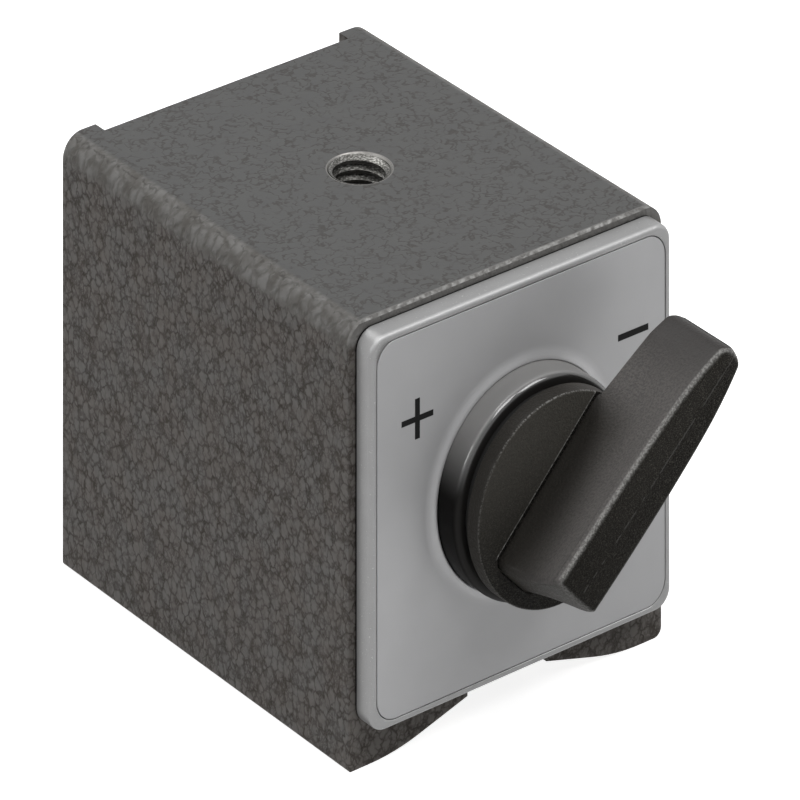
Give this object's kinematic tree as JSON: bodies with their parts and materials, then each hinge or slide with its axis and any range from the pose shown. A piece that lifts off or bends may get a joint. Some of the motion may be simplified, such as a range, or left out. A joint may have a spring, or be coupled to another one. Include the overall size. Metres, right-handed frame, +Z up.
{
  "type": "switchable magnetic base",
  "caption": "Switchable magnetic base: a painted steel block with a vee underneath, a threaded hole in its top, and a knob that turns the magnet inside it on and off.",
  "frame": {"origin": "on the base plane, straight under the axis of the threaded hole in the top", "axes": "+Z up along the threaded hole, -Y out of the front with the knob, +X to the right seen from the front"},
  "size_m": [0.05, 0.083, 0.055],
  "materials": {
    "painted_steel": "dark grey-brown hammertone paint; the feet and the vee are ground bare",
    "stainless": "ground stainless steel",
    "brass": "machined",
    "bronze": "sintered, oiled",
    "painted_sheet": "black satin paint",
    "screw_steel": "zinc plated",
    "silver_casting": "satin silver die casting",
    "printed_label": "satin silver sheet with two black signs",
    "ground_steel": "ground",
    "bezel": "smooth glossy black",
    "seal_rubber": "matt black",
    "ferrite": "sintered, dark grey",
    "soft_iron": "turned",
    "spring_steel": "blackened",
    "knob_coat": "black, fine grained, with soft edges"
  },
  "bodies": {
    "base": {"left_pole": "painted_steel", "right_pole": "painted_steel", "top_strip": "painted_steel", "bottom_strip": "stainless", "rear_bearing_disc": "brass", "rear_bush": "bronze", "rear_plate": "painted_sheet", "rear_plate_screws": "screw_steel", "front_plate": "silver_casting", "front_label": "printed_label", "front_plate_screws": "screw_steel", "stop_pin": "ground_steel", "bezel_ring": "bezel", "front_bush": "bronze", "dust_seal": "seal_rubber", "thrust_washer": "bronze"},
    "rotor": {"magnet_blocks": "ferrite", "upper_shoe": "soft_iron", "lower_shoe": "soft_iron", "front_cap": "brass", "front_cap_screws": "screw_steel", "rear_cap": "brass", "rear_cap_screws": "screw_steel", "knob_shaft": "ground_steel", "retaining_ring": "spring_steel", "knob": "knob_coat"}
  },
  "joints": [
    {"name": "knob_turn", "type": "hinge", "parent": "base", "child": "rotor", "pos_m": [0, 0, 0.0298], "axis": [0, -1, 0], "range_deg": [0, 90]}
  ]
}
